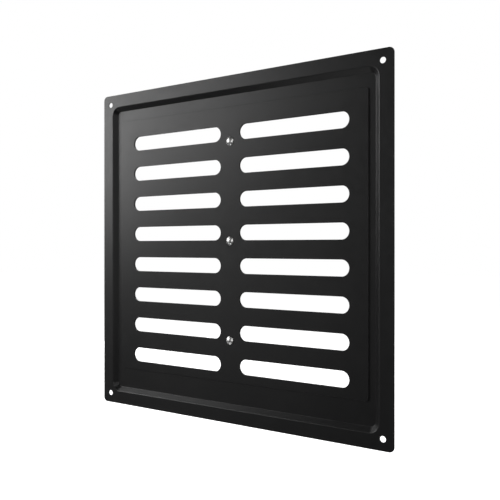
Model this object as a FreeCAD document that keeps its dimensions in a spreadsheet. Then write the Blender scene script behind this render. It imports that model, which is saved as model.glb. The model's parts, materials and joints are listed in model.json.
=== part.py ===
import FreeCAD, Part
import math
import os

import Sketcher
from FreeCAD import Vector

# Square hit-and-miss ventilation grille in pressed steel sheet.
#
# A fixed frame plate has a flat rim for the wall screws and a shallow pressed tray. A slotted
# slider plate lies on the tray's floor. With the slots in line the grille is open. Pushed down
# by half a slot pitch, the slider's bars cover the floor's slots. Three rivets are fixed in the
# slider and run in upright guide slots in the floor. Behind the floor each rivet holds a dished
# spring washer and a flat backing washer, whose grip keeps the slider where it is put.
#
# Frame: +Z is up, +X is to the right seen from the room, and the face looks along -Y. The origin
# is the centre of the rim's back, the plane that lies on the wall. Every size is in millimetres
# or degrees.

SIZES = (
    ("sheet", 0.7, "thickness of both pressed plates"),
    ("plate", 250.0, "side of the square frame plate"),
    ("plate_corner", 3.5, "corner radius of the frame plate"),
    ("screw_inset", 7.5, "edge of the plate to the centre of a screw hole"),
    ("screw_hole", 4.0, "diameter of a screw hole"),
    ("recess", 230.0, "side of the tray's mouth, between the theoretical bend corners"),
    ("recess_corner", 7.0, "corner radius of the tray's mouth"),
    ("recess_depth", 3.2, "front of the rim to the front of the floor"),
    ("wall_angle", 45.0, "slope of the tray's wall from the plane of the rim"),
    ("bend_radius", 0.5, "inside radius of every bend"),
    ("slot_length", 85.5, "air slot, end to end"),
    ("slot_width", 11.0, "air slot, across; its ends are half rounds"),
    ("slot_rows", 8, "air slots in a column"),
    ("slot_pitch", 24.0, "row to row"),
    ("slot_columns", 2, "columns of air slots"),
    ("column_pitch", 102.0, "centre to centre of the columns"),
    ("slider_width", 214.0, "width of the slider plate"),
    ("slider_top", 103.0, "top edge above the centre, slots open"),
    ("slider_bottom", 96.0, "bottom edge below the centre, slots open"),
    ("slider_corner", 2.0, "corner radius of the slider plate"),
    ("running_gap", 0.1, "clearance between the floor and whatever slides along it"),
    ("travel", 12.0, "slider travel, half a slot pitch"),
    ("rivet_count", 3, "rivets in the middle of the slider"),
    ("rivet_pitch", 72.0, "rivet to rivet, three rows"),
    ("rivet_top_height", 78.0, "top rivet above the centre, slots open"),
    ("shank", 3.0, "diameter of the rivet's shank"),
    ("guide_width", 3.4, "width of a guide slot"),
    ("rivet_head", 6.2, "diameter of the rivet's head"),
    ("head_edge", 0.15, "straight edge under the head's dome"),
    ("head_height", 1.35, "height of the head"),
    ("tail", 5.0, "diameter of the set tail"),
    ("tail_edge", 0.35, "straight edge under the tail's dome"),
    ("tail_height", 0.9, "height of the set tail"),
    ("washer_bore", 3.2, "bore of both washers"),
    ("spring_outer", 9.0, "outside diameter of the spring washer"),
    ("spring_sheet", 0.3, "thickness of the spring washer"),
    ("spring_dish", 0.35, "height of the spring washer's cone"),
    ("backing_outer", 7.0, "outside diameter of the backing washer"),
    ("backing_sheet", 0.6, "thickness of the backing washer"),
)

# Places along Y, as expressions of the sheet's cells.
FLOOR_FRONT = "(Sizes.recess_depth - Sizes.sheet)"
FLOOR_BACK = "Sizes.recess_depth"
SLIDER_BACK = f"({FLOOR_FRONT} - Sizes.running_gap)"
SLIDER_FRONT = f"({SLIDER_BACK} - Sizes.sheet)"
SPRING_FRONT = f"({FLOOR_BACK} + Sizes.running_gap)"
BACKING_FRONT = f"({SPRING_FRONT} + Sizes.spring_dish + Sizes.spring_sheet)"
TAIL_FRONT = f"({BACKING_FRONT} + Sizes.backing_sheet)"

RIVET_NAMES = ("top", "middle", "bottom")
STRAIGHT_SLOT = "(Sizes.slot_length - Sizes.slot_width)"


def make_sizes(doc):
    """The spreadsheet that holds the driving dimensions: name, value and meaning in each row."""
    sheet = doc.addObject("Spreadsheet::Sheet", "Sizes")
    for row, (alias, value, meaning) in enumerate(SIZES, start=1):
        sheet.set(f"A{row}", alias)
        sheet.set(f"B{row}", str(value))
        sheet.set(f"C{row}", meaning)
        sheet.setAlias(f"B{row}", alias)
    doc.recompute()
    return sheet


def make_body(doc, label, across="0", back="0", up="0"):
    """A body with its Label and with its Placement bound to the sheet, in X, Y and Z."""
    body = doc.addObject("PartDesign::Body", label)
    body.Label = label
    body.setExpression("Placement.Base.x", across)
    body.setExpression("Placement.Base.y", back)
    body.setExpression("Placement.Base.z", up)
    return body


def make_sketch(body, name, role, offset="0"):
    """A sketch on one of the body's own origin planes, moved along the plane's normal by offset."""
    sketch = body.newObject("Sketcher::SketchObject", name)
    plane = next(item for item in body.Origin.OriginFeatures if item.Role == role)
    sketch.AttachmentSupport = [(plane, "")]
    sketch.MapMode = "FlatFace"
    sketch.setExpression("AttachmentOffset.Base.z", offset)
    return sketch


def value_of(sketch, expression):
    """The number that an expression gives now, for a sketch's starting geometry."""
    result = sketch.evalExpression(expression)
    return float(getattr(result, "Value", result))


def dimension(sketch, name, kind, elements, expression):
    """A named dimensional constraint bound to an expression of the sheet."""
    constraint = Sketcher.Constraint(kind, *elements, value_of(sketch, expression))
    index = sketch.addConstraint(constraint)
    sketch.renameConstraint(index, name)
    sketch.setExpression(f"Constraints.{name}", expression)


def arc(centre_x, centre_y, radius, start_degrees, end_degrees):
    """A circular arc in the sketch plane, counter-clockwise."""
    circle = Part.Circle(Vector(centre_x, centre_y, 0), Vector(0, 0, 1), radius)
    return Part.ArcOfCircle(circle, math.radians(start_degrees), math.radians(end_degrees))


def line(x0, y0, x1, y1):
    """A straight sketch line."""
    return Part.LineSegment(Vector(x0, y0, 0), Vector(x1, y1, 0))


def join_tangent(sketch, count):
    """Ties each of a closed chain's elements to the next, end to start, without a corner."""
    for index in range(count):
        sketch.addConstraint(Sketcher.Constraint("Tangent", index, 2, (index + 1) % count, 1))


def rounded_rectangle(sketch, left, right, bottom, top, corner):
    """A rectangle with round corners; its sides' distances from the sketch origin are expressions."""
    x0, x1 = -value_of(sketch, left), value_of(sketch, right)
    y0, y1 = -value_of(sketch, bottom), value_of(sketch, top)
    radius = value_of(sketch, corner)
    sketch.addGeometry(line(x0 + radius, y0, x1 - radius, y0))
    sketch.addGeometry(arc(x1 - radius, y0 + radius, radius, -90, 0))
    sketch.addGeometry(line(x1, y0 + radius, x1, y1 - radius))
    sketch.addGeometry(arc(x1 - radius, y1 - radius, radius, 0, 90))
    sketch.addGeometry(line(x1 - radius, y1, x0 + radius, y1))
    sketch.addGeometry(arc(x0 + radius, y1 - radius, radius, 90, 180))
    sketch.addGeometry(line(x0, y1 - radius, x0, y0 + radius))
    sketch.addGeometry(arc(x0 + radius, y0 + radius, radius, 180, 270))
    join_tangent(sketch, 8)
    for level in (0, 4):
        sketch.addConstraint(Sketcher.Constraint("Horizontal", level))
    for upright in (2, 6):
        sketch.addConstraint(Sketcher.Constraint("Vertical", upright))
    for other in (3, 5, 7):
        sketch.addConstraint(Sketcher.Constraint("Equal", 1, other))
    dimension(sketch, "corner", "Radius", (1,), corner)
    dimension(sketch, "left", "DistanceX", (6, 1, -1, 1), left)
    dimension(sketch, "right", "DistanceX", (-1, 1, 2, 1), right)
    dimension(sketch, "bottom", "DistanceY", (0, 1, -1, 1), bottom)
    dimension(sketch, "top", "DistanceY", (-1, 1, 4, 1), top)


def square_outline(sketch, side, corner):
    """A rounded square about the sketch origin."""
    half = f"({side}) / 2"
    rounded_rectangle(sketch, half, half, half, half, corner)


def air_slot(sketch):
    """The air slot at the bottom left of the field, level, with half-round ends."""
    far_centre = f"Sizes.column_pitch / 2 + {STRAIGHT_SLOT} / 2"
    near_centre = f"Sizes.column_pitch / 2 - {STRAIGHT_SLOT} / 2"
    below = "Sizes.slot_pitch * (Sizes.slot_rows - 1) / 2"
    radius_text = "Sizes.slot_width / 2"
    x0, x1 = -value_of(sketch, far_centre), -value_of(sketch, near_centre)
    y = -value_of(sketch, below)
    radius = value_of(sketch, radius_text)
    sketch.addGeometry(line(x0, y - radius, x1, y - radius))
    sketch.addGeometry(arc(x1, y, radius, -90, 90))
    sketch.addGeometry(line(x1, y + radius, x0, y + radius))
    sketch.addGeometry(arc(x0, y, radius, 90, 270))
    join_tangent(sketch, 4)
    sketch.addConstraint(Sketcher.Constraint("Horizontal", 0))
    sketch.addConstraint(Sketcher.Constraint("Equal", 1, 3))
    dimension(sketch, "end_radius", "Radius", (1,), radius_text)
    dimension(sketch, "far_centre", "DistanceX", (3, 3, -1, 1), far_centre)
    dimension(sketch, "near_centre", "DistanceX", (1, 3, -1, 1), near_centre)
    dimension(sketch, "below", "DistanceY", (3, 3, -1, 1), below)


def guide_slot(sketch):
    """The guide slot of the top rivet, upright: the rivet stands at its upper end when open."""
    upper_centre = "Sizes.rivet_top_height"
    lower_centre = "Sizes.rivet_top_height - Sizes.travel"
    radius_text = "Sizes.guide_width / 2"
    y1, y0 = value_of(sketch, upper_centre), value_of(sketch, lower_centre)
    radius = value_of(sketch, radius_text)
    sketch.addGeometry(line(radius, y0, radius, y1))
    sketch.addGeometry(arc(0, y1, radius, 0, 180))
    sketch.addGeometry(line(-radius, y1, -radius, y0))
    sketch.addGeometry(arc(0, y0, radius, 180, 360))
    join_tangent(sketch, 4)
    sketch.addConstraint(Sketcher.Constraint("Equal", 1, 3))
    for rounded_end in (1, 3):
        sketch.addConstraint(Sketcher.Constraint("PointOnObject", rounded_end, 3, -2))
    dimension(sketch, "end_radius", "Radius", (1,), radius_text)
    dimension(sketch, "upper_centre", "DistanceY", (-1, 1, 1, 3), upper_centre)
    dimension(sketch, "lower_centre", "DistanceY", (-1, 1, 3, 3), lower_centre)


def round_hole(sketch, right, above, diameter):
    """One hole; its centre's distances right of and above the sketch origin are expressions.

    The distance to the right may be None, for a hole on the middle line.
    """
    x = value_of(sketch, right) if right else 0
    y = value_of(sketch, above)
    circle = Part.Circle(Vector(x, y, 0), Vector(0, 0, 1), value_of(sketch, diameter) / 2)
    sketch.addGeometry(circle)
    dimension(sketch, "diameter", "Diameter", (0,), diameter)
    dimension(sketch, "above", "DistanceY", (-1, 1, 0, 3), above)
    if right:
        dimension(sketch, "right", "DistanceX", (-1, 1, 0, 3), right)
    else:
        sketch.addConstraint(Sketcher.Constraint("PointOnObject", 0, 3, -2))


def turned_outline(sketch, corners, domes=()):
    """A closed outline on the right of the sketch's upright axis, for turning about that axis.

    Each corner is a (radius, height) pair of expressions, in counter-clockwise order. An
    expression of "0" puts the corner on an axis. The side that follows a corner whose number is
    in domes is an arc centred on the axis of turning, and every other side is straight.
    """
    points = [(value_of(sketch, radius), value_of(sketch, height)) for radius, height in corners]
    for index, (x0, y0) in enumerate(points):
        x1, y1 = points[(index + 1) % len(points)]
        if index in domes:
            centre = (x1 ** 2 + y1 ** 2 - x0 ** 2 - y0 ** 2) / (2 * (y1 - y0))
            start = math.degrees(math.atan2(y0 - centre, x0))
            end = math.degrees(math.atan2(y1 - centre, x1))
            sketch.addGeometry(arc(0, centre, math.hypot(x0, y0 - centre), start, end))
        else:
            sketch.addGeometry(line(x0, y0, x1, y1))
    for index in range(len(points)):
        following = (index + 1) % len(points)
        sketch.addConstraint(Sketcher.Constraint("Coincident", index, 2, following, 1))
    for index in domes:
        sketch.addConstraint(Sketcher.Constraint("PointOnObject", index, 3, -2))
    for index, (radius, height) in enumerate(corners):
        if radius == "0":
            sketch.addConstraint(Sketcher.Constraint("PointOnObject", index, 1, -2))
        else:
            dimension(sketch, f"radius{index}", "DistanceX", (-1, 1, index, 1), radius)
        if height == "0":
            sketch.addConstraint(Sketcher.Constraint("PointOnObject", index, 1, -1))
        else:
            dimension(sketch, f"height{index}", "DistanceY", (-1, 1, index, 1), height)


def add_pad(body, sketch, name, length, backward=False):
    """A pad towards the room, or towards the wall if backward."""
    pad = body.newObject("PartDesign::Pad", name)
    pad.Profile = sketch
    pad.setExpression("Length", length)
    pad.Reversed = backward
    sketch.Document.recompute()
    return pad


def add_pocket(body, sketch, name, depth=None):
    """A pocket from the sketch towards the wall, through everything unless it has a depth."""
    pocket = body.newObject("PartDesign::Pocket", name)
    pocket.Profile = sketch
    if depth is None:
        pocket.Type = "ThroughAll"
    else:
        pocket.setExpression("Length", depth)
    sketch.Document.recompute()
    return pocket


def add_pattern(body, original, sketch, name, rows, row_pitch, columns=None, column_pitch=None, down=False):
    """Repeats a pocket up or down the plate, and also leftwards or rightwards if it has columns."""
    pattern = body.newObject("PartDesign::LinearPattern", name)
    pattern.Originals = [original]
    pattern.Direction = (sketch, ["V_Axis"])
    pattern.Reversed = down
    pattern.setExpression("Length", f"{row_pitch} * ({rows} - 1)")
    pattern.setExpression("Occurrences", rows)
    if columns:
        pattern.Direction2 = (sketch, ["H_Axis"])
        pattern.setExpression("Length2", f"{column_pitch} * ({columns} - 1)")
        pattern.setExpression("Occurrences2", columns)
    body.Tip = pattern
    sketch.Document.recompute()
    return pattern


def loop_edges(feature, level, largest):
    """Names of the edges that lie level in Y and nowhere further than largest from the middle."""
    names = []
    for number, edge in enumerate(feature.Shape.Edges, start=1):
        box = edge.BoundBox
        reach = max(abs(box.XMin), abs(box.XMax), abs(box.ZMin), abs(box.ZMax))
        if abs(box.YMin - level) < 0.001 and abs(box.YMax - level) < 0.001 and reach < largest:
            names.append(f"Edge{number}")
    return names


def round_bends(body, feature, name, levels, radius):
    """Rounds the tray's bends that lie at the given levels in Y."""
    largest = value_of(feature, "Sizes.plate / 2 - 1")
    edges = []
    for level in levels:
        edges += loop_edges(feature, value_of(feature, level), largest)
    fillet = body.newObject("PartDesign::Fillet", name)
    fillet.Base = (feature, edges)
    fillet.setExpression("Radius", radius)
    feature.Document.recompute()
    return fillet


def punch_air_slots(body, surface):
    """The field of air slots, the same in both plates; surface is the sheet's front in Y."""
    sketch = make_sketch(body, "AirSlot", "XZ_Plane", f"-{surface}")
    air_slot(sketch)
    pocket = add_pocket(body, sketch, "AirSlotCut", "Sizes.sheet")
    return add_pattern(
        body, pocket, sketch, "AirSlotField",
        "Sizes.slot_rows", "Sizes.slot_pitch", "Sizes.slot_columns", "Sizes.column_pitch",
    )


def make_frame_plate(doc):
    """The fixed plate: rim, sloping tray wall and floor, pressed from one sheet."""
    body = make_body(doc, "frame_plate")

    rim = make_sketch(body, "RimOutline", "XZ_Plane")
    square_outline(rim, "Sizes.plate", "Sizes.plate_corner")
    add_pad(body, rim, "Rim", "Sizes.sheet")

    # The back of the wall starts further out than its front, so that the wall is one sheet thick.
    wall_shift = "Sizes.sheet * tan(Sizes.wall_angle / 2)"
    back = make_sketch(body, "TrayBackOutline", "XZ_Plane")
    square_outline(back, f"Sizes.recess + 2 * {wall_shift}", f"Sizes.recess_corner + {wall_shift}")
    tray_back = add_pad(body, back, "TrayBack", "Sizes.recess_depth", backward=True)
    tray_back.setExpression("TaperAngle", "-(90 - Sizes.wall_angle)")

    mouth = make_sketch(body, "TrayMouthOutline", "XZ_Plane", "Sizes.sheet")
    square_outline(mouth, "Sizes.recess", "Sizes.recess_corner")
    tray = add_pocket(body, mouth, "Tray", "Sizes.recess_depth")
    tray.setExpression("TaperAngle", "-(90 - Sizes.wall_angle)")
    doc.recompute()

    outer = round_bends(
        body, tray, "OuterBends", ("-Sizes.sheet", FLOOR_BACK), "Sizes.bend_radius + Sizes.sheet"
    )
    round_bends(body, outer, "InnerBends", ("0", FLOOR_FRONT), "Sizes.bend_radius")

    punch_air_slots(body, FLOOR_FRONT)

    guide = make_sketch(body, "GuideSlot", "XZ_Plane", f"-{FLOOR_FRONT}")
    guide_slot(guide)
    guide_cut = add_pocket(body, guide, "GuideSlotCut", "Sizes.sheet")
    add_pattern(
        body, guide_cut, guide, "GuideSlots", "Sizes.rivet_count", "Sizes.rivet_pitch", down=True
    )

    screw = make_sketch(body, "ScrewHole", "XZ_Plane", "Sizes.sheet")
    from_middle = "Sizes.plate / 2 - Sizes.screw_inset"
    round_hole(screw, from_middle, from_middle, "Sizes.screw_hole")
    screw_cut = add_pocket(body, screw, "ScrewHoleCut", "Sizes.sheet")
    holes = add_pattern(
        body, screw_cut, screw, "ScrewHoles", "2", f"2 * ({from_middle})", "2", f"2 * ({from_middle})",
        down=True,
    )
    holes.Reversed2 = True
    doc.recompute()
    return body


def make_slider_plate(doc):
    """The sliding plate, with the same slots as the floor and a tight hole for each rivet."""
    body = make_body(doc, "slider_plate", back=SLIDER_FRONT)

    outline = make_sketch(body, "SliderOutline", "XZ_Plane")
    half_width = "Sizes.slider_width / 2"
    rounded_rectangle(
        outline, half_width, half_width, "Sizes.slider_bottom", "Sizes.slider_top", "Sizes.slider_corner"
    )
    add_pad(body, outline, "SliderSheet", "Sizes.sheet", backward=True)

    punch_air_slots(body, "0")

    hole = make_sketch(body, "RivetHole", "XZ_Plane")
    round_hole(hole, None, "Sizes.rivet_top_height", "Sizes.shank")
    hole_cut = add_pocket(body, hole, "RivetHoleCut")
    add_pattern(
        body, hole_cut, hole, "RivetHoles", "Sizes.rivet_count", "Sizes.rivet_pitch", down=True
    )
    return body


def make_turned(doc, label, back, up, corners, domes=()):
    """A turned piece; corners are (radius, distance behind the piece's front) expressions."""
    body = make_body(doc, label, back=back, up=up)
    section = make_sketch(body, "Section", "XY_Plane")
    turned_outline(section, corners, domes)
    turned = body.newObject("PartDesign::Revolution", "Turned")
    turned.Profile = section
    turned.ReferenceAxis = (section, ["V_Axis"])
    turned.Angle = 360
    doc.recompute()
    return body


def make_rivet(doc, name, up):
    """A solid rivet: domed head on the slider, shank through the guide slot, set tail behind."""
    tail_start = f"({TAIL_FRONT} - {SLIDER_FRONT} + Sizes.head_height)"
    corners = (
        ("0", "0"),
        ("Sizes.rivet_head / 2", "Sizes.head_height - Sizes.head_edge"),
        ("Sizes.rivet_head / 2", "Sizes.head_height"),
        ("Sizes.shank / 2", "Sizes.head_height"),
        ("Sizes.shank / 2", tail_start),
        ("Sizes.tail / 2", tail_start),
        ("Sizes.tail / 2", f"{tail_start} + Sizes.tail_edge"),
        ("0", f"{tail_start} + Sizes.tail_height"),
    )
    crown = f"{SLIDER_FRONT} - Sizes.head_height"
    return make_turned(doc, f"rivet_{name}", crown, up, corners, domes=(0, 6))


def make_spring_washer(doc, name, up):
    """A dished spring washer, whose outer edge bears on the back of the floor."""
    corners = (
        ("Sizes.washer_bore / 2", "Sizes.spring_dish"),
        ("Sizes.spring_outer / 2", "0"),
        ("Sizes.spring_outer / 2", "Sizes.spring_sheet"),
        ("Sizes.washer_bore / 2", "Sizes.spring_dish + Sizes.spring_sheet"),
    )
    return make_turned(doc, f"spring_washer_{name}", SPRING_FRONT, up, corners)


def make_backing_washer(doc, name, up):
    """The flat washer between the spring washer and the rivet's tail."""
    corners = (
        ("Sizes.washer_bore / 2", "0"),
        ("Sizes.backing_outer / 2", "0"),
        ("Sizes.backing_outer / 2", "Sizes.backing_sheet"),
        ("Sizes.washer_bore / 2", "Sizes.backing_sheet"),
    )
    return make_turned(doc, f"backing_washer_{name}", BACKING_FRONT, up, corners)


def check_model(doc, bodies):
    """Stops if a feature failed, or if a sub-part is empty, invalid or in more than one piece."""
    for item in doc.Objects:
        if "Invalid" in item.State or "Error" in item.State:
            raise RuntimeError(f"{item.Name} failed: {item.State}")
    for body in bodies:
        shape = body.Shape
        if shape.isNull() or not shape.isValid() or len(shape.Solids) != 1:
            raise RuntimeError(f"{body.Label} is not one valid solid")


def main():
    doc = FreeCAD.newDocument("ventilation_grille")
    make_sizes(doc)
    bodies = [make_frame_plate(doc), make_slider_plate(doc)]
    for number, name in enumerate(RIVET_NAMES):
        up = f"Sizes.rivet_top_height - Sizes.rivet_pitch * {number}"
        bodies.append(make_rivet(doc, name, up))
        bodies.append(make_spring_washer(doc, name, up))
        bodies.append(make_backing_washer(doc, name, up))
    doc.recompute()
    check_model(doc, bodies)

    os.makedirs("parts", exist_ok=True)
    for body in bodies:
        body.Shape.exportStep(os.path.join("parts", f"{body.Label}.step"))
        box = body.Shape.BoundBox
        print(
            f"{body.Label}: volume {body.Shape.Volume:.2f} mm3,",
            f"X {box.XMin:.2f} to {box.XMax:.2f},",
            f"Y {box.YMin:.2f} to {box.YMax:.2f},",
            f"Z {box.ZMin:.2f} to {box.ZMax:.2f}",
        )


main()
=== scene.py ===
import json
import math

import bpy
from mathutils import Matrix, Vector
from mathutils.geometry import delaunay_2d_cdt


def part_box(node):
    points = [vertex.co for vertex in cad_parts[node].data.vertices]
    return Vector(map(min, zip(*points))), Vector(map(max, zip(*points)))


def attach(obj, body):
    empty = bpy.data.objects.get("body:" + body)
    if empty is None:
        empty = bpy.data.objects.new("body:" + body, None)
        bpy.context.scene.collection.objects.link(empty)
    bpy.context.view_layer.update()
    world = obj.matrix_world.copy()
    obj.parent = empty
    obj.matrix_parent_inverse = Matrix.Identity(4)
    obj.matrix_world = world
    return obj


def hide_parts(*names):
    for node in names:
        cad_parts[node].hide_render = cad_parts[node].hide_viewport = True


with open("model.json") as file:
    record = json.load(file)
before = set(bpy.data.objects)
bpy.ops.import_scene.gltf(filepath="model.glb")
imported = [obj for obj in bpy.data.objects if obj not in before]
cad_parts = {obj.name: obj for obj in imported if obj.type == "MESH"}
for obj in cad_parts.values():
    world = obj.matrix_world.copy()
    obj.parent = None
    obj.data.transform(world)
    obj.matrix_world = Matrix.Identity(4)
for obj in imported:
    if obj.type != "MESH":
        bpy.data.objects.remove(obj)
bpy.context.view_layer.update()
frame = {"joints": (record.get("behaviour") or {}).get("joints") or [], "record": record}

# A square hit-and-miss ventilation grille: a pressed frame plate, a slotted slider plate in its
# tray, and three rivets with their washers. Metres, in the CAD frame: +Z up, the face looks
# along -Y, and the origin is the centre of the rim's back.
#
# Every piece is a skin of closed loops. A loop is an outline in the XZ plane that can be grown
# outwards, and a station says how far it is grown, how deep it lies along Y and how its normal
# leans, so that bends, punched edges and turned profiles are chains of true arcs.

MM = 0.001

# ---------------------------------------------------------------- sizes, from the frame

PLATE_LOW, PLATE_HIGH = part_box("frame_plate")
SLIDER_LOW, SLIDER_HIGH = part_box("slider_plate")
SPRING_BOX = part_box("spring_washer_top")
BACKING_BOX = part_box("backing_washer_top")
BACKING_BACK = BACKING_BOX[1].y
RIVET_NAMES = ("top", "middle", "bottom")
RIVET_BOXES = [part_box(f"rivet_{name}") for name in RIVET_NAMES]
RECORD = frame["record"]
TRAVEL = -frame["joints"][0]["range_m"][0]

SHEET = SLIDER_HIGH.y - SLIDER_LOW.y
RIM_FRONT = PLATE_LOW.y
RIM_BACK = RIM_FRONT + SHEET
FLOOR_BACK = PLATE_HIGH.y
FLOOR_FRONT = FLOOR_BACK - SHEET
RIVET_PLACES = [((low.x + high.x) / 2, (low.z + high.z) / 2) for low, high in RIVET_BOXES]

# ---------------------------------------------------------------- sizes that boxes don't show

PLATE_CORNER = 3.5 * MM
RECESS_HALF = 115.0 * MM
RECESS_CORNER = 7.0 * MM
WALL_ANGLE = 45.0
BEND = 0.5 * MM
SLIDER_CORNER = 2.0 * MM
SLOT_LENGTH = 85.5 * MM
SLOT_WIDTH = 11.0 * MM
GUIDE_WIDTH = 3.4 * MM
SHANK_RADIUS = 1.5 * MM
SHEET_EDGE = 0.16 * MM
RIVET_HOLE_EDGE = 0.05 * MM
HEAD_EDGE = 0.15 * MM
TAIL_RADIUS = 2.5 * MM
TAIL_EDGE = 0.35 * MM
WASHER_BORE = 1.6 * MM
WASHER_EDGE = 0.09 * MM
SPRING_SHEET = 0.3 * MM

FLAT_GRID = 6 * MM      # spacing of the mesh on the large flat faces


# ---------------------------------------------------------------- loops and stations

def rounded_box(x_low, x_high, z_low, z_high, radius, arc_steps=10, spacing=FLAT_GRID):
    """Returns loop(grow), the points (x, z, normal x, normal z) of a box with round corners.

    Sides of no length make it an obround or a circle.
    """
    corners = (
        (x_high - radius, z_low + radius, -90),
        (x_high - radius, z_high - radius, 0),
        (x_low + radius, z_high - radius, 90),
        (x_low + radius, z_low + radius, 180),
    )

    def loop(grow):
        points = []
        reach = radius + grow
        for number, (x, z, start) in enumerate(corners):
            for step in range(arc_steps + 1):
                angle = math.radians(start + 90 * step / arc_steps)
                across, up = math.cos(angle), math.sin(angle)
                points.append((x + reach * across, z + reach * up, across, up))
            next_x, next_z, _ = corners[(number + 1) % 4]
            run = math.hypot(next_x - x, next_z - z)
            if run < 1e-6:
                points.pop()
                continue
            pieces = max(1, round(run / spacing))
            x_end, z_end, across, up = points[-1]
            for step in range(1, pieces):
                part = step / pieces
                x_now, z_now = x_end + (next_x - x) * part, z_end + (next_z - z) * part
                points.append((x_now, z_now, across, up))
        return points

    return loop


def circle(x, z, radius, arc_steps=12):
    """Returns loop(grow) of a circle."""
    return rounded_box(x - radius, x + radius, z - radius, z + radius, radius, arc_steps)


def arc(centre_grow, centre_depth, radius, start, end, steps, hollow=False):
    """Stations (grow, depth, lean, facing) along an arc.

    Angles in degrees run from straight ahead, -Y, to outwards, and 180 is straight back. The
    normal points away from the arc's centre, or towards it if the surface is hollow there.
    """
    stations = []
    turn = -1 if hollow else 1
    for step in range(steps + 1):
        angle = math.radians(start + (end - start) * step / steps)
        out, ahead = math.sin(angle), -math.cos(angle)
        stations.append(
            (centre_grow + radius * out, centre_depth + radius * ahead, turn * out, turn * ahead)
        )
    return stations


def outline_edge(front, back):
    """The rounded sheet edge round the outside of a plate, front face to back face."""
    edge = SHEET_EDGE
    return arc(-edge, front + edge, edge, 0, 90, 4) + arc(-edge, back - edge, edge, 90, 180, 4)


def hole_edge(front, back, edge=SHEET_EDGE):
    """The rounded sheet edge of a hole, front face to back face."""
    return arc(edge, front + edge, edge, 0, -90, 4) + arc(edge, back - edge, edge, -90, -180, 4)


def wall_stations(front):
    """The tray's wall from the rim to the floor, two bends and the slope between them."""
    half_turn = math.tan(math.radians(WALL_ANGLE / 2))
    outer_bend = BEND + SHEET
    depth = FLOOR_FRONT - RIM_FRONT
    first_centre = outer_bend * half_turn
    second_centre = -depth / math.tan(math.radians(WALL_ANGLE)) - BEND * half_turn
    first_radius, second_radius = (outer_bend, BEND) if front else (BEND, outer_bend)
    return (
        arc(first_centre, RIM_FRONT + outer_bend, first_radius, 0, -WALL_ANGLE, 8, not front)
        + arc(second_centre, FLOOR_FRONT - BEND, second_radius, 180 - WALL_ANGLE, 180, 8, front)
    )


class Skin:
    """A closed mesh grown from loops, with an exact normal at every point."""

    def __init__(self):
        self.points = []
        self.normals = []
        self.faces = []

    def add(self, point, normal):
        self.points.append(point)
        self.normals.append(normal)
        return len(self.points) - 1

    def ring(self, loop, station):
        grow, depth, lean, facing = station
        return [
            self.add((x, depth, z), (across * lean, facing, up * lean))
            for x, z, across, up in loop(grow)
        ]

    def strip(self, loop, stations, closed=False):
        """Joins the loop's rings at the stations. Returns the first and the last ring."""
        rings = [self.ring(loop, station) for station in stations]
        pairs = list(zip(rings, rings[1:]))
        if closed:
            pairs.append((rings[-1], rings[0]))
        for near, far in pairs:
            for index in range(len(near)):
                following = (index + 1) % len(near)
                self.faces.append((near[index], near[following], far[following], far[index]))
        return rings[0], rings[-1]

    def cap(self, outer, holes=(), spacing=None):
        """Fills a flat face between an outer ring and the rings of its holes."""
        loops = [outer] + list(holes)
        indices = [index for loop in loops for index in loop]
        flat = [Vector((self.points[i][0] / MM, self.points[i][2] / MM)) for i in indices]
        chains, start = [], 0
        for loop in loops:
            chains.append(list(range(start, start + len(loop))))
            start += len(loop)
        depth = self.points[outer[0]][1]
        normal = self.normals[outer[0]]
        inner = self.grid_points(flat, spacing / MM) if spacing else []
        points, _, faces, origins, _, _ = delaunay_2d_cdt(flat + inner, [], chains, 2, 1e-5)
        ids = []
        for point, origin in zip(points, origins):
            if origin and origin[0] < len(indices):
                ids.append(indices[origin[0]])
            else:
                ids.append(self.add((point.x * MM, depth, point.y * MM), normal))
        self.faces += [tuple(ids[index] for index in face) for face in faces]

    @staticmethod
    def grid_points(flat, spacing):
        """Points on a staggered grid inside a face, clear of its edges."""
        low_x, high_x = min(p.x for p in flat), max(p.x for p in flat)
        low_z, high_z = min(p.y for p in flat), max(p.y for p in flat)
        columns = math.ceil((high_x - low_x) / spacing)
        rows = math.ceil((high_z - low_z) / spacing)
        clear = (0.55 * spacing) ** 2
        found = []
        for row in range(1, rows):
            for column in range(1, columns):
                x = low_x + (high_x - low_x) * (column + 0.25 * (-1) ** row) / columns
                z = low_z + (high_z - low_z) * row / rows
                if all((p.x - x) ** 2 + (p.y - z) ** 2 > clear for p in flat):
                    found.append(Vector((x, z)))
        return found

    def pole(self, ring, depth):
        """Closes a small ring with triangles to one point on the axis."""
        count = len(ring)
        x = sum(self.points[i][0] for i in ring) / count
        z = sum(self.points[i][2] for i in ring) / count
        facing = math.copysign(1, self.normals[ring[0]][1])
        tip = self.add((x, depth, z), (0, facing, 0))
        for index in range(count):
            self.faces.append((ring[index], ring[(index + 1) % count], tip))

    def build(self, name):
        """Makes the Blender object, with every face turned to match its points' normals."""
        points = [Vector(point) for point in self.points]
        normals = [Vector(normal).normalized() for normal in self.normals]
        faces = []
        for face in self.faces:
            a, b, c = (points[index] for index in face[:3])
            looking = sum((normals[index] for index in face), Vector())
            if (b - a).cross(c - a).dot(looking) < 0:
                face = tuple(reversed(face))
            faces.append(face)
        mesh = bpy.data.meshes.new(name)
        mesh.from_pydata(points, [], faces)
        mesh.polygons.foreach_set("use_smooth", [True] * len(mesh.polygons))
        mesh.normals_split_custom_set_from_vertices(normals)
        mesh.update()
        piece = bpy.data.objects.new(name, mesh)
        bpy.context.scene.collection.objects.link(piece)
        return piece


# ---------------------------------------------------------------- materials

COAT_TONE = 0.016
# Lighter tone on convex edges: partly the thinned coat, partly a painted highlight.
THIN_COAT_EDGE_HIGHLIGHT_TONE = (0.022, 0.022, 0.023)
COAT_ROUGHNESS = (0.34, 0.38)


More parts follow.
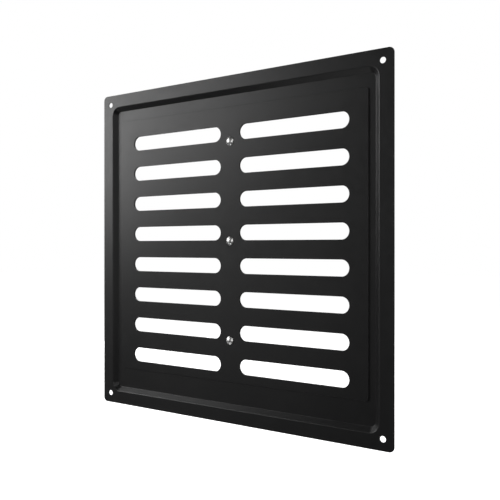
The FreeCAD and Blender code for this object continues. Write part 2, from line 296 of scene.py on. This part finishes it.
class Material:
    """A node material and short calls to fill it."""

    def __init__(self, name):
        self.data = bpy.data.materials.new(name)
        self.data.use_nodes = True
        self.tree = self.data.node_tree
        self.tree.nodes.clear()
        self.shader = self.node("ShaderNodeBsdfPrincipled")
        output = self.node("ShaderNodeOutputMaterial")
        self.link(self.shader.outputs["BSDF"], output.inputs["Surface"])
        self.place = self.node("ShaderNodeTexCoord").outputs["Object"]

    def node(self, kind, **settings):
        made = self.tree.nodes.new(kind)
        for key, value in settings.items():
            setattr(made, key, value)
        return made

    def link(self, source, target):
        self.tree.links.new(source, target)

    def set(self, **values):
        """Numbers and colours on the shader's own sockets."""
        for key, value in values.items():
            self.shader.inputs[key.replace("_", " ")].default_value = value

    def noise(self, size, detail, roughness=0.5, stretch=None):
        """A noise from 0 to 1 whose features are about `size` metres across."""
        place = self.place
        if stretch:
            mapping = self.node("ShaderNodeMapping")
            mapping.inputs["Scale"].default_value = stretch
            self.link(place, mapping.inputs["Vector"])
            place = mapping.outputs["Vector"]
        noise = self.node("ShaderNodeTexNoise")
        noise.inputs["Scale"].default_value = 1 / size
        noise.inputs["Detail"].default_value = detail
        noise.inputs["Roughness"].default_value = roughness
        self.link(place, noise.inputs["Vector"])
        return noise.outputs["Fac"]

    def spread(self, source, low, high, to_low, to_high):
        """Maps low..high of a value to to_low..to_high."""
        mapped = self.node("ShaderNodeMapRange", interpolation_type="SMOOTHSTEP")
        for key, value in (
            ("From Min", low), ("From Max", high), ("To Min", to_low), ("To Max", to_high),
        ):
            mapped.inputs[key].default_value = value
        self.link(source, mapped.inputs["Value"])
        return mapped.outputs["Result"]

    def blend(self, factor, first, second):
        """A colour between two colours."""
        mix = self.node("ShaderNodeMix", data_type="RGBA")
        for socket, colour in ((mix.inputs[6], first), (mix.inputs[7], second)):
            if isinstance(colour, tuple):
                socket.default_value = (*colour, 1)
            else:
                self.link(colour, socket)
        self.link(factor, mix.inputs[0])
        return mix.outputs[2]

    def bump(self, height, distance, below=None):
        """A bump of the given height in metres; returns the normal."""
        bump = self.node("ShaderNodeBump")
        bump.inputs["Strength"].default_value = 1.0
        bump.inputs["Distance"].default_value = distance
        self.link(height, bump.inputs["Height"])
        if below:
            self.link(below, bump.inputs["Normal"])
        return bump.outputs["Normal"]


def powder_coat():
    """Satin black powder coat: orange peel, a fine grain, and lighter convex edges, partly a coat that
    thins there and partly a painted edge highlight.
    """
    coat = Material("satin_black_coat")
    dark = tuple(COAT_TONE * part for part in (0.92, 0.92, 0.95))
    light = tuple(COAT_TONE * part for part in (1.12, 1.12, 1.14))
    cloud = coat.spread(coat.noise(40 * MM, 3), 0.35, 0.65, 0, 1)
    colour = coat.blend(cloud, dark, light)
    pointiness = coat.node("ShaderNodeNewGeometry").outputs["Pointiness"]
    # Convex edges are painted lighter: partly the coat thinning there, partly a painted highlight.
    thin_coat_edge_highlight = coat.spread(pointiness, 0.52, 0.60, 0, 0.5)
    coat.link(coat.blend(thin_coat_edge_highlight, colour, THIN_COAT_EDGE_HIGHLIGHT_TONE), coat.shader.inputs["Base Color"])
    roughness = coat.spread(coat.noise(6 * MM, 3), 0.3, 0.7, *COAT_ROUGHNESS)
    coat.link(roughness, coat.shader.inputs["Roughness"])
    peel = coat.bump(coat.noise(1.3 * MM, 1.5), 0.008 * MM)
    grain = coat.bump(coat.noise(0.25 * MM, 2), 0.0012 * MM, peel)
    coat.link(grain, coat.shader.inputs["Normal"])
    coat.set(Metallic=0.0, IOR=1.5)
    return coat.data


def bright_metal(name, colour, shade, roughness, dent):
    """Bare or plated steel: fine scratches, faint stains and small dents from setting.

    roughness is its lowest and highest value, and dent is the dents' depth.
    """
    metal = Material(name)
    stain = metal.spread(metal.noise(1.8 * MM, 4), 0.4, 0.7, 0, 1)
    metal.link(metal.blend(stain, colour, shade), metal.shader.inputs["Base Color"])
    scratch = metal.noise(0.5 * MM, 4, 0.65, (1, 1, 6))
    metal.link(metal.spread(scratch, 0.35, 0.7, *roughness), metal.shader.inputs["Roughness"])
    dents = metal.bump(metal.noise(1.6 * MM, 1), dent)
    fine = metal.bump(scratch, 0.0006 * MM, dents)
    metal.link(fine, metal.shader.inputs["Normal"])
    metal.set(Metallic=1.0)
    return metal.data


# ---------------------------------------------------------------- the pieces

def finish_piece(piece, material, body, node):
    """Gives a piece its material and its body, and hides the CAD node it stands for."""
    piece.data.materials.append(material)
    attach(piece, body)
    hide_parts(node)


def air_slot_loops():
    """The sixteen air slots, centred on the openings that the record states."""
    half_length, half_width = SLOT_LENGTH / 2, SLOT_WIDTH / 2
    loops = []
    for opening in RECORD["physics"]["openings"]:
        (x_low, _, z_low), (x_high, _, z_high) = opening["box_m"]
        x, z = (x_low + x_high) / 2, (z_low + z_high) / 2
        left, right = x - half_length, x + half_length
        loops.append(rounded_box(left, right, z - half_width, z + half_width, half_width))
    return loops


def guide_slot_loops():
    """The rivets' upright guide slots: each rivet stands near the upper end of its own."""
    half = GUIDE_WIDTH / 2
    return [
        rounded_box(x - half, x + half, z - TRAVEL - half, z + half, half, 8, 2 * MM)
        for x, z in RIVET_PLACES
    ]


def screw_hole_loops():
    """The round screw holes in the rim's corners, from the record's mount."""
    dims = next(m["dims"] for m in RECORD["mounts"] if m["name"] == "wall_screws")
    across, up = dims["spacing_x_mm"] / 2 * MM, dims["spacing_y_mm"] / 2 * MM
    radius = dims["hole_r_mm"] * MM
    return [circle(sx * across, sz * up, radius) for sx in (-1, 1) for sz in (-1, 1)]


def make_frame_plate(material):
    """Rim, sloping wall and floor of the fixed plate, one pressed sheet."""
    skin = Skin()
    plate = rounded_box(PLATE_LOW.x, PLATE_HIGH.x, PLATE_LOW.z, PLATE_HIGH.z, PLATE_CORNER)
    recess = rounded_box(-RECESS_HALF, RECESS_HALF, -RECESS_HALF, RECESS_HALF, RECESS_CORNER)
    rim_front, rim_back = skin.strip(plate, outline_edge(RIM_FRONT, RIM_BACK))
    mouth_front, floor_front = skin.strip(recess, wall_stations(front=True))
    mouth_back, floor_back = skin.strip(recess, wall_stations(front=False))
    screws = [skin.strip(loop, hole_edge(RIM_FRONT, RIM_BACK)) for loop in screw_hole_loops()]
    floor_loops = air_slot_loops() + guide_slot_loops()
    slots = [skin.strip(loop, hole_edge(FLOOR_FRONT, FLOOR_BACK)) for loop in floor_loops]
    skin.cap(rim_front, [mouth_front] + [front for front, _ in screws])
    skin.cap(rim_back, [mouth_back] + [back for _, back in screws])
    skin.cap(floor_front, [front for front, _ in slots], FLAT_GRID)
    skin.cap(floor_back, [back for _, back in slots], FLAT_GRID)
    piece = skin.build("pressed_frame_plate")
    finish_piece(piece, material, "frame", "frame_plate")


def make_slider_plate(material):
    """The flat sliding plate with its air slots and tight rivet holes."""
    skin = Skin()
    front, back = SLIDER_LOW.y, SLIDER_HIGH.y
    outline = rounded_box(SLIDER_LOW.x, SLIDER_HIGH.x, SLIDER_LOW.z, SLIDER_HIGH.z, SLIDER_CORNER)
    plate_front, plate_back = skin.strip(outline, outline_edge(front, back))
    holes = [skin.strip(loop, hole_edge(front, back)) for loop in air_slot_loops()]
    rivet_hole_edge = hole_edge(front, back, RIVET_HOLE_EDGE)
    holes += [skin.strip(circle(x, z, SHANK_RADIUS), rivet_hole_edge) for x, z in RIVET_PLACES]
    skin.cap(plate_front, [ring for ring, _ in holes], FLAT_GRID)
    skin.cap(plate_back, [ring for _, ring in holes], FLAT_GRID)
    piece = skin.build("slotted_slider_plate")
    finish_piece(piece, material, "slider", "slider_plate")


def dome(radius, height, edge, seat, away):
    """Stations of a domed disc that stands on the plane `seat`, from its crown to its seat.

    edge is the height at its rim. away is -1 for a head that faces the room and 1 for a tail
    behind the plates.
    """
    shoulder = 0.22 * MM
    foot = 0.05 * MM
    crown_gap = 0.6     # degrees, left for the pole
    cap = height - edge
    sphere = (radius ** 2 + cap ** 2) / (2 * cap)
    spread = math.degrees(math.asin((radius - shoulder) / (sphere - shoulder)))
    centre = seat + away * (height - sphere)
    shoulder_depth = centre + away * (sphere - shoulder) * math.cos(math.radians(spread))

    def turned(centre_grow, centre_depth, stations):
        """Stations round the origin, moved to a centre and turned to the dome's side."""
        return [
            (centre_grow + grow, centre_depth - away * depth, lean, -away * facing)
            for grow, depth, lean, facing in stations
        ]

    # An arc after the first leaves out its first station, which is the last of the one before.
    shoulder_arc = arc(0, 0, shoulder, spread, 90, 6)[1:]
    foot_arc = arc(0, 0, foot, 90, 180, 6)[1:]
    return (
        turned(0, centre, arc(0, 0, sphere, crown_gap, spread, 22))
        + turned(radius - shoulder, shoulder_depth, shoulder_arc)
        + turned(radius - foot, seat + away * foot, foot_arc)
    )


def make_rivet(name, place, box, material):
    """A solid rivet: polished domed head, shank, and the set tail behind the washers."""
    low, high = box
    x, z = place
    axis = rounded_box(x, x, z, z, 0, 16)
    head_radius = (high.x - low.x) / 2
    head = dome(head_radius, SLIDER_LOW.y - low.y, HEAD_EDGE, SLIDER_LOW.y, -1)
    tail = dome(TAIL_RADIUS, high.y - BACKING_BACK, TAIL_EDGE, BACKING_BACK, 1)
    shank = [(SHANK_RADIUS, SLIDER_LOW.y, 1, 0), (SHANK_RADIUS, BACKING_BACK, 1, 0)]
    skin = Skin()
    crown, end = skin.strip(axis, head + shank + tail[::-1])
    skin.pole(crown, low.y)
    skin.pole(end, high.y)
    piece = skin.build(f"domed_rivet_{name}")
    finish_piece(piece, material, "slider", f"rivet_{name}")


def washer_section(outer, front, thickness, dish):
    """Stations round a washer's section; a dished one rises by `dish` from its rim to its bore."""
    inner, edge = WASHER_BORE, WASHER_EDGE
    tilt = math.degrees(math.atan2(dish, outer - inner))
    rise = dish / (outer - inner)
    corners = (
        (outer - edge, front + edge, 0),
        (outer - edge, front + thickness - edge, 90),
        (inner + edge, front + thickness - edge, 180),
        (inner + edge, front + edge, 270),
    )
    stations = []
    for grow, depth, start in corners:
        lifted = depth + rise * (outer - edge - grow)
        stations += arc(grow, lifted, edge, start - tilt, start + 90 - tilt, 5)
    return stations


def make_washer(name, node, place, box, thickness, material):
    """A turned washer on a rivet's axis. Its box is deeper than its sheet if it is dished."""
    low, high = box
    x, z = place
    dish = high.y - low.y - thickness
    stations = washer_section((high.x - low.x) / 2, low.y, thickness, dish)
    skin = Skin()
    skin.strip(rounded_box(x, x, z, z, 0, 14), stations, closed=True)
    finish_piece(skin.build(name), material, "slider", node)


def make_pieces():
    """All the pieces of the grille."""
    black = powder_coat()
    nickel = bright_metal(
        "nickel_plate", (0.95, 0.945, 0.93), (0.88, 0.88, 0.87), (0.28, 0.48), 0.006 * MM
    )
    spring_steel = bright_metal(
        "spring_steel", (0.36, 0.36, 0.37), (0.20, 0.19, 0.18), (0.28, 0.45), 0.004 * MM
    )
    zinc = bright_metal(
        "zinc_plate", (0.52, 0.53, 0.55), (0.38, 0.39, 0.40), (0.34, 0.50), 0.006 * MM
    )
    make_frame_plate(black)
    make_slider_plate(black)
    backing_thickness = BACKING_BACK - BACKING_BOX[0].y
    for name, place, box in zip(RIVET_NAMES, RIVET_PLACES, RIVET_BOXES):
        make_rivet(name, place, box, nickel)
        make_washer(
            f"dished_washer_{name}", f"spring_washer_{name}",
            place, SPRING_BOX, SPRING_SHEET, spring_steel,
        )
        make_washer(
            f"flat_washer_{name}", f"backing_washer_{name}",
            place, BACKING_BOX, backing_thickness, zinc,
        )


# ---------------------------------------------------------------- floor, light and camera

WORLD_SEEN = 1.0
WORLD_MIRRORED = 0.015
FRONT_DISTANCE = 1.5
BACK_DISTANCE = 1.6
CAMERA_RIGHT = 270.5 * MM
CAMERA_AHEAD = 381.4 * MM
CAMERA_UP = 1.6 * MM
CAMERA_TURN = 33.40
LENS = 46.81
SHIFT_UP = -0.0059


def make_floor():
    """A wide pale floor below the grille, which neither lights it nor reflects in it."""
    drop = 0.16
    half = 6.0
    corners = [(-half, -half), (half, -half), (half, half), (-half, half)]
    height = PLATE_LOW.z - drop
    mesh = bpy.data.meshes.new("studio_floor")
    mesh.from_pydata([(x, y, height) for x, y in corners], [], [(0, 1, 2, 3)])
    floor = bpy.data.objects.new("studio_floor", mesh)
    bpy.context.scene.collection.objects.link(floor)
    pale = Material("pale_floor")
    tint = pale.spread(pale.noise(0.2, 2), 0.3, 0.7, 0, 1)
    colour = pale.blend(tint, (0.90, 0.90, 0.90), (0.92, 0.92, 0.92))
    pale.link(colour, pale.shader.inputs["Base Color"])
    pale.set(Roughness=0.9, Emission_Color=(1, 1, 1, 1), Emission_Strength=1.0)
    mesh.materials.append(pale.data)
    floor.visible_glossy = False
    floor.visible_diffuse = False


def make_world():
    """White behind the grille, and a dim grey in its reflections."""
    world = bpy.data.worlds.new("studio")
    bpy.context.scene.world = world
    world.use_nodes = True
    tree = world.node_tree
    tree.nodes.clear()
    ray = tree.nodes.new("ShaderNodeLightPath")
    mix = tree.nodes.new("ShaderNodeMixShader")
    tree.links.new(ray.outputs["Is Camera Ray"], mix.inputs[0])
    for socket, strength in ((mix.inputs[1], WORLD_MIRRORED), (mix.inputs[2], WORLD_SEEN)):
        background = tree.nodes.new("ShaderNodeBackground")
        background.inputs["Color"].default_value = (1, 1, 1, 1)
        background.inputs["Strength"].default_value = strength
        tree.links.new(background.outputs[0], socket)
    output = tree.nodes.new("ShaderNodeOutputWorld")
    tree.links.new(mix.outputs[0], output.inputs["Surface"])


def softbox(name, place, width, height, power):
    """A rectangular soft light that faces the grille and isn't seen by the camera."""
    data = bpy.data.lights.new(name, "AREA")
    data.shape = "RECTANGLE"
    data.size, data.size_y = width, height
    data.energy = power
    light = bpy.data.objects.new(name, data)
    light.location = place
    light.rotation_mode = "QUATERNION"
    light.rotation_quaternion = (-Vector(place)).to_track_quat("-Z", "Y")
    light.visible_camera = False
    bpy.context.scene.collection.objects.link(light)


def toward(azimuth, elevation, distance):
    """A place seen from the face's centre at these angles in degrees, left and up positive."""
    across, up = math.radians(azimuth), math.radians(elevation)
    level = distance * math.cos(up)
    return (-level * math.sin(across), -level * math.cos(across), distance * math.sin(up))


def make_lights():
    """Soft studio light: three keys at the left of the face, weaker fills, and three lights behind."""
    softbox("key_upper", toward(68, 22, FRONT_DISTANCE), 0.4, 0.4, 2.1)
    softbox("key_lower", toward(58, 11, FRONT_DISTANCE), 0.4, 0.4, 4.4)
    softbox("key_front", toward(42, 20, FRONT_DISTANCE), 0.4, 0.4, 2.2)
    softbox("centre_front", toward(34, -8, FRONT_DISTANCE), 0.6, 0.5, 0.35)
    softbox("high_left", toward(74, 42, FRONT_DISTANCE), 0.4, 0.4, 1.1)
    softbox("low_left", toward(82, -67, FRONT_DISTANCE), 0.45, 0.45, 1.6)
    softbox("low_left_panel", toward(62, -34, FRONT_DISTANCE), 0.3, 0.35, 0.5)
    softbox("low_front", toward(17, -46, FRONT_DISTANCE), 0.4, 0.4, 2.6)
    softbox("right_high", toward(-35, 30, FRONT_DISTANCE), 0.5, 0.5, 1.4)
    softbox("right_front", toward(-24, 2, FRONT_DISTANCE), 0.5, 0.5, 2.4)
    softbox("left_strip", toward(88, 0, FRONT_DISTANCE), 0.12, 0.9, 0.45)
    softbox("back_top", (-0.3, 0.9, 1.3), 1.0, 0.8, 16)
    softbox("back_left", toward(-134, -12, BACK_DISTANCE), 0.6, 0.6, 4)
    softbox("back_right", toward(132, -12, BACK_DISTANCE), 0.6, 0.6, 4)


def make_camera():
    """Level camera to the right of the face, turned back towards it."""
    data = bpy.data.cameras.new("camera")
    data.sensor_width = 36.0
    data.lens = LENS
    data.shift_y = SHIFT_UP
    data.clip_start = 0.01
    data.clip_end = 50.0
    camera = bpy.data.objects.new("camera", data)
    camera.location = (CAMERA_RIGHT, RIM_FRONT - CAMERA_AHEAD, CAMERA_UP)
    camera.rotation_euler = (math.radians(90), 0, math.radians(CAMERA_TURN))
    bpy.context.scene.collection.objects.link(camera)
    bpy.context.scene.camera = camera


make_pieces()
make_floor()
make_world()
make_lights()
make_camera()
bpy.context.scene.view_settings.view_transform = "Standard"
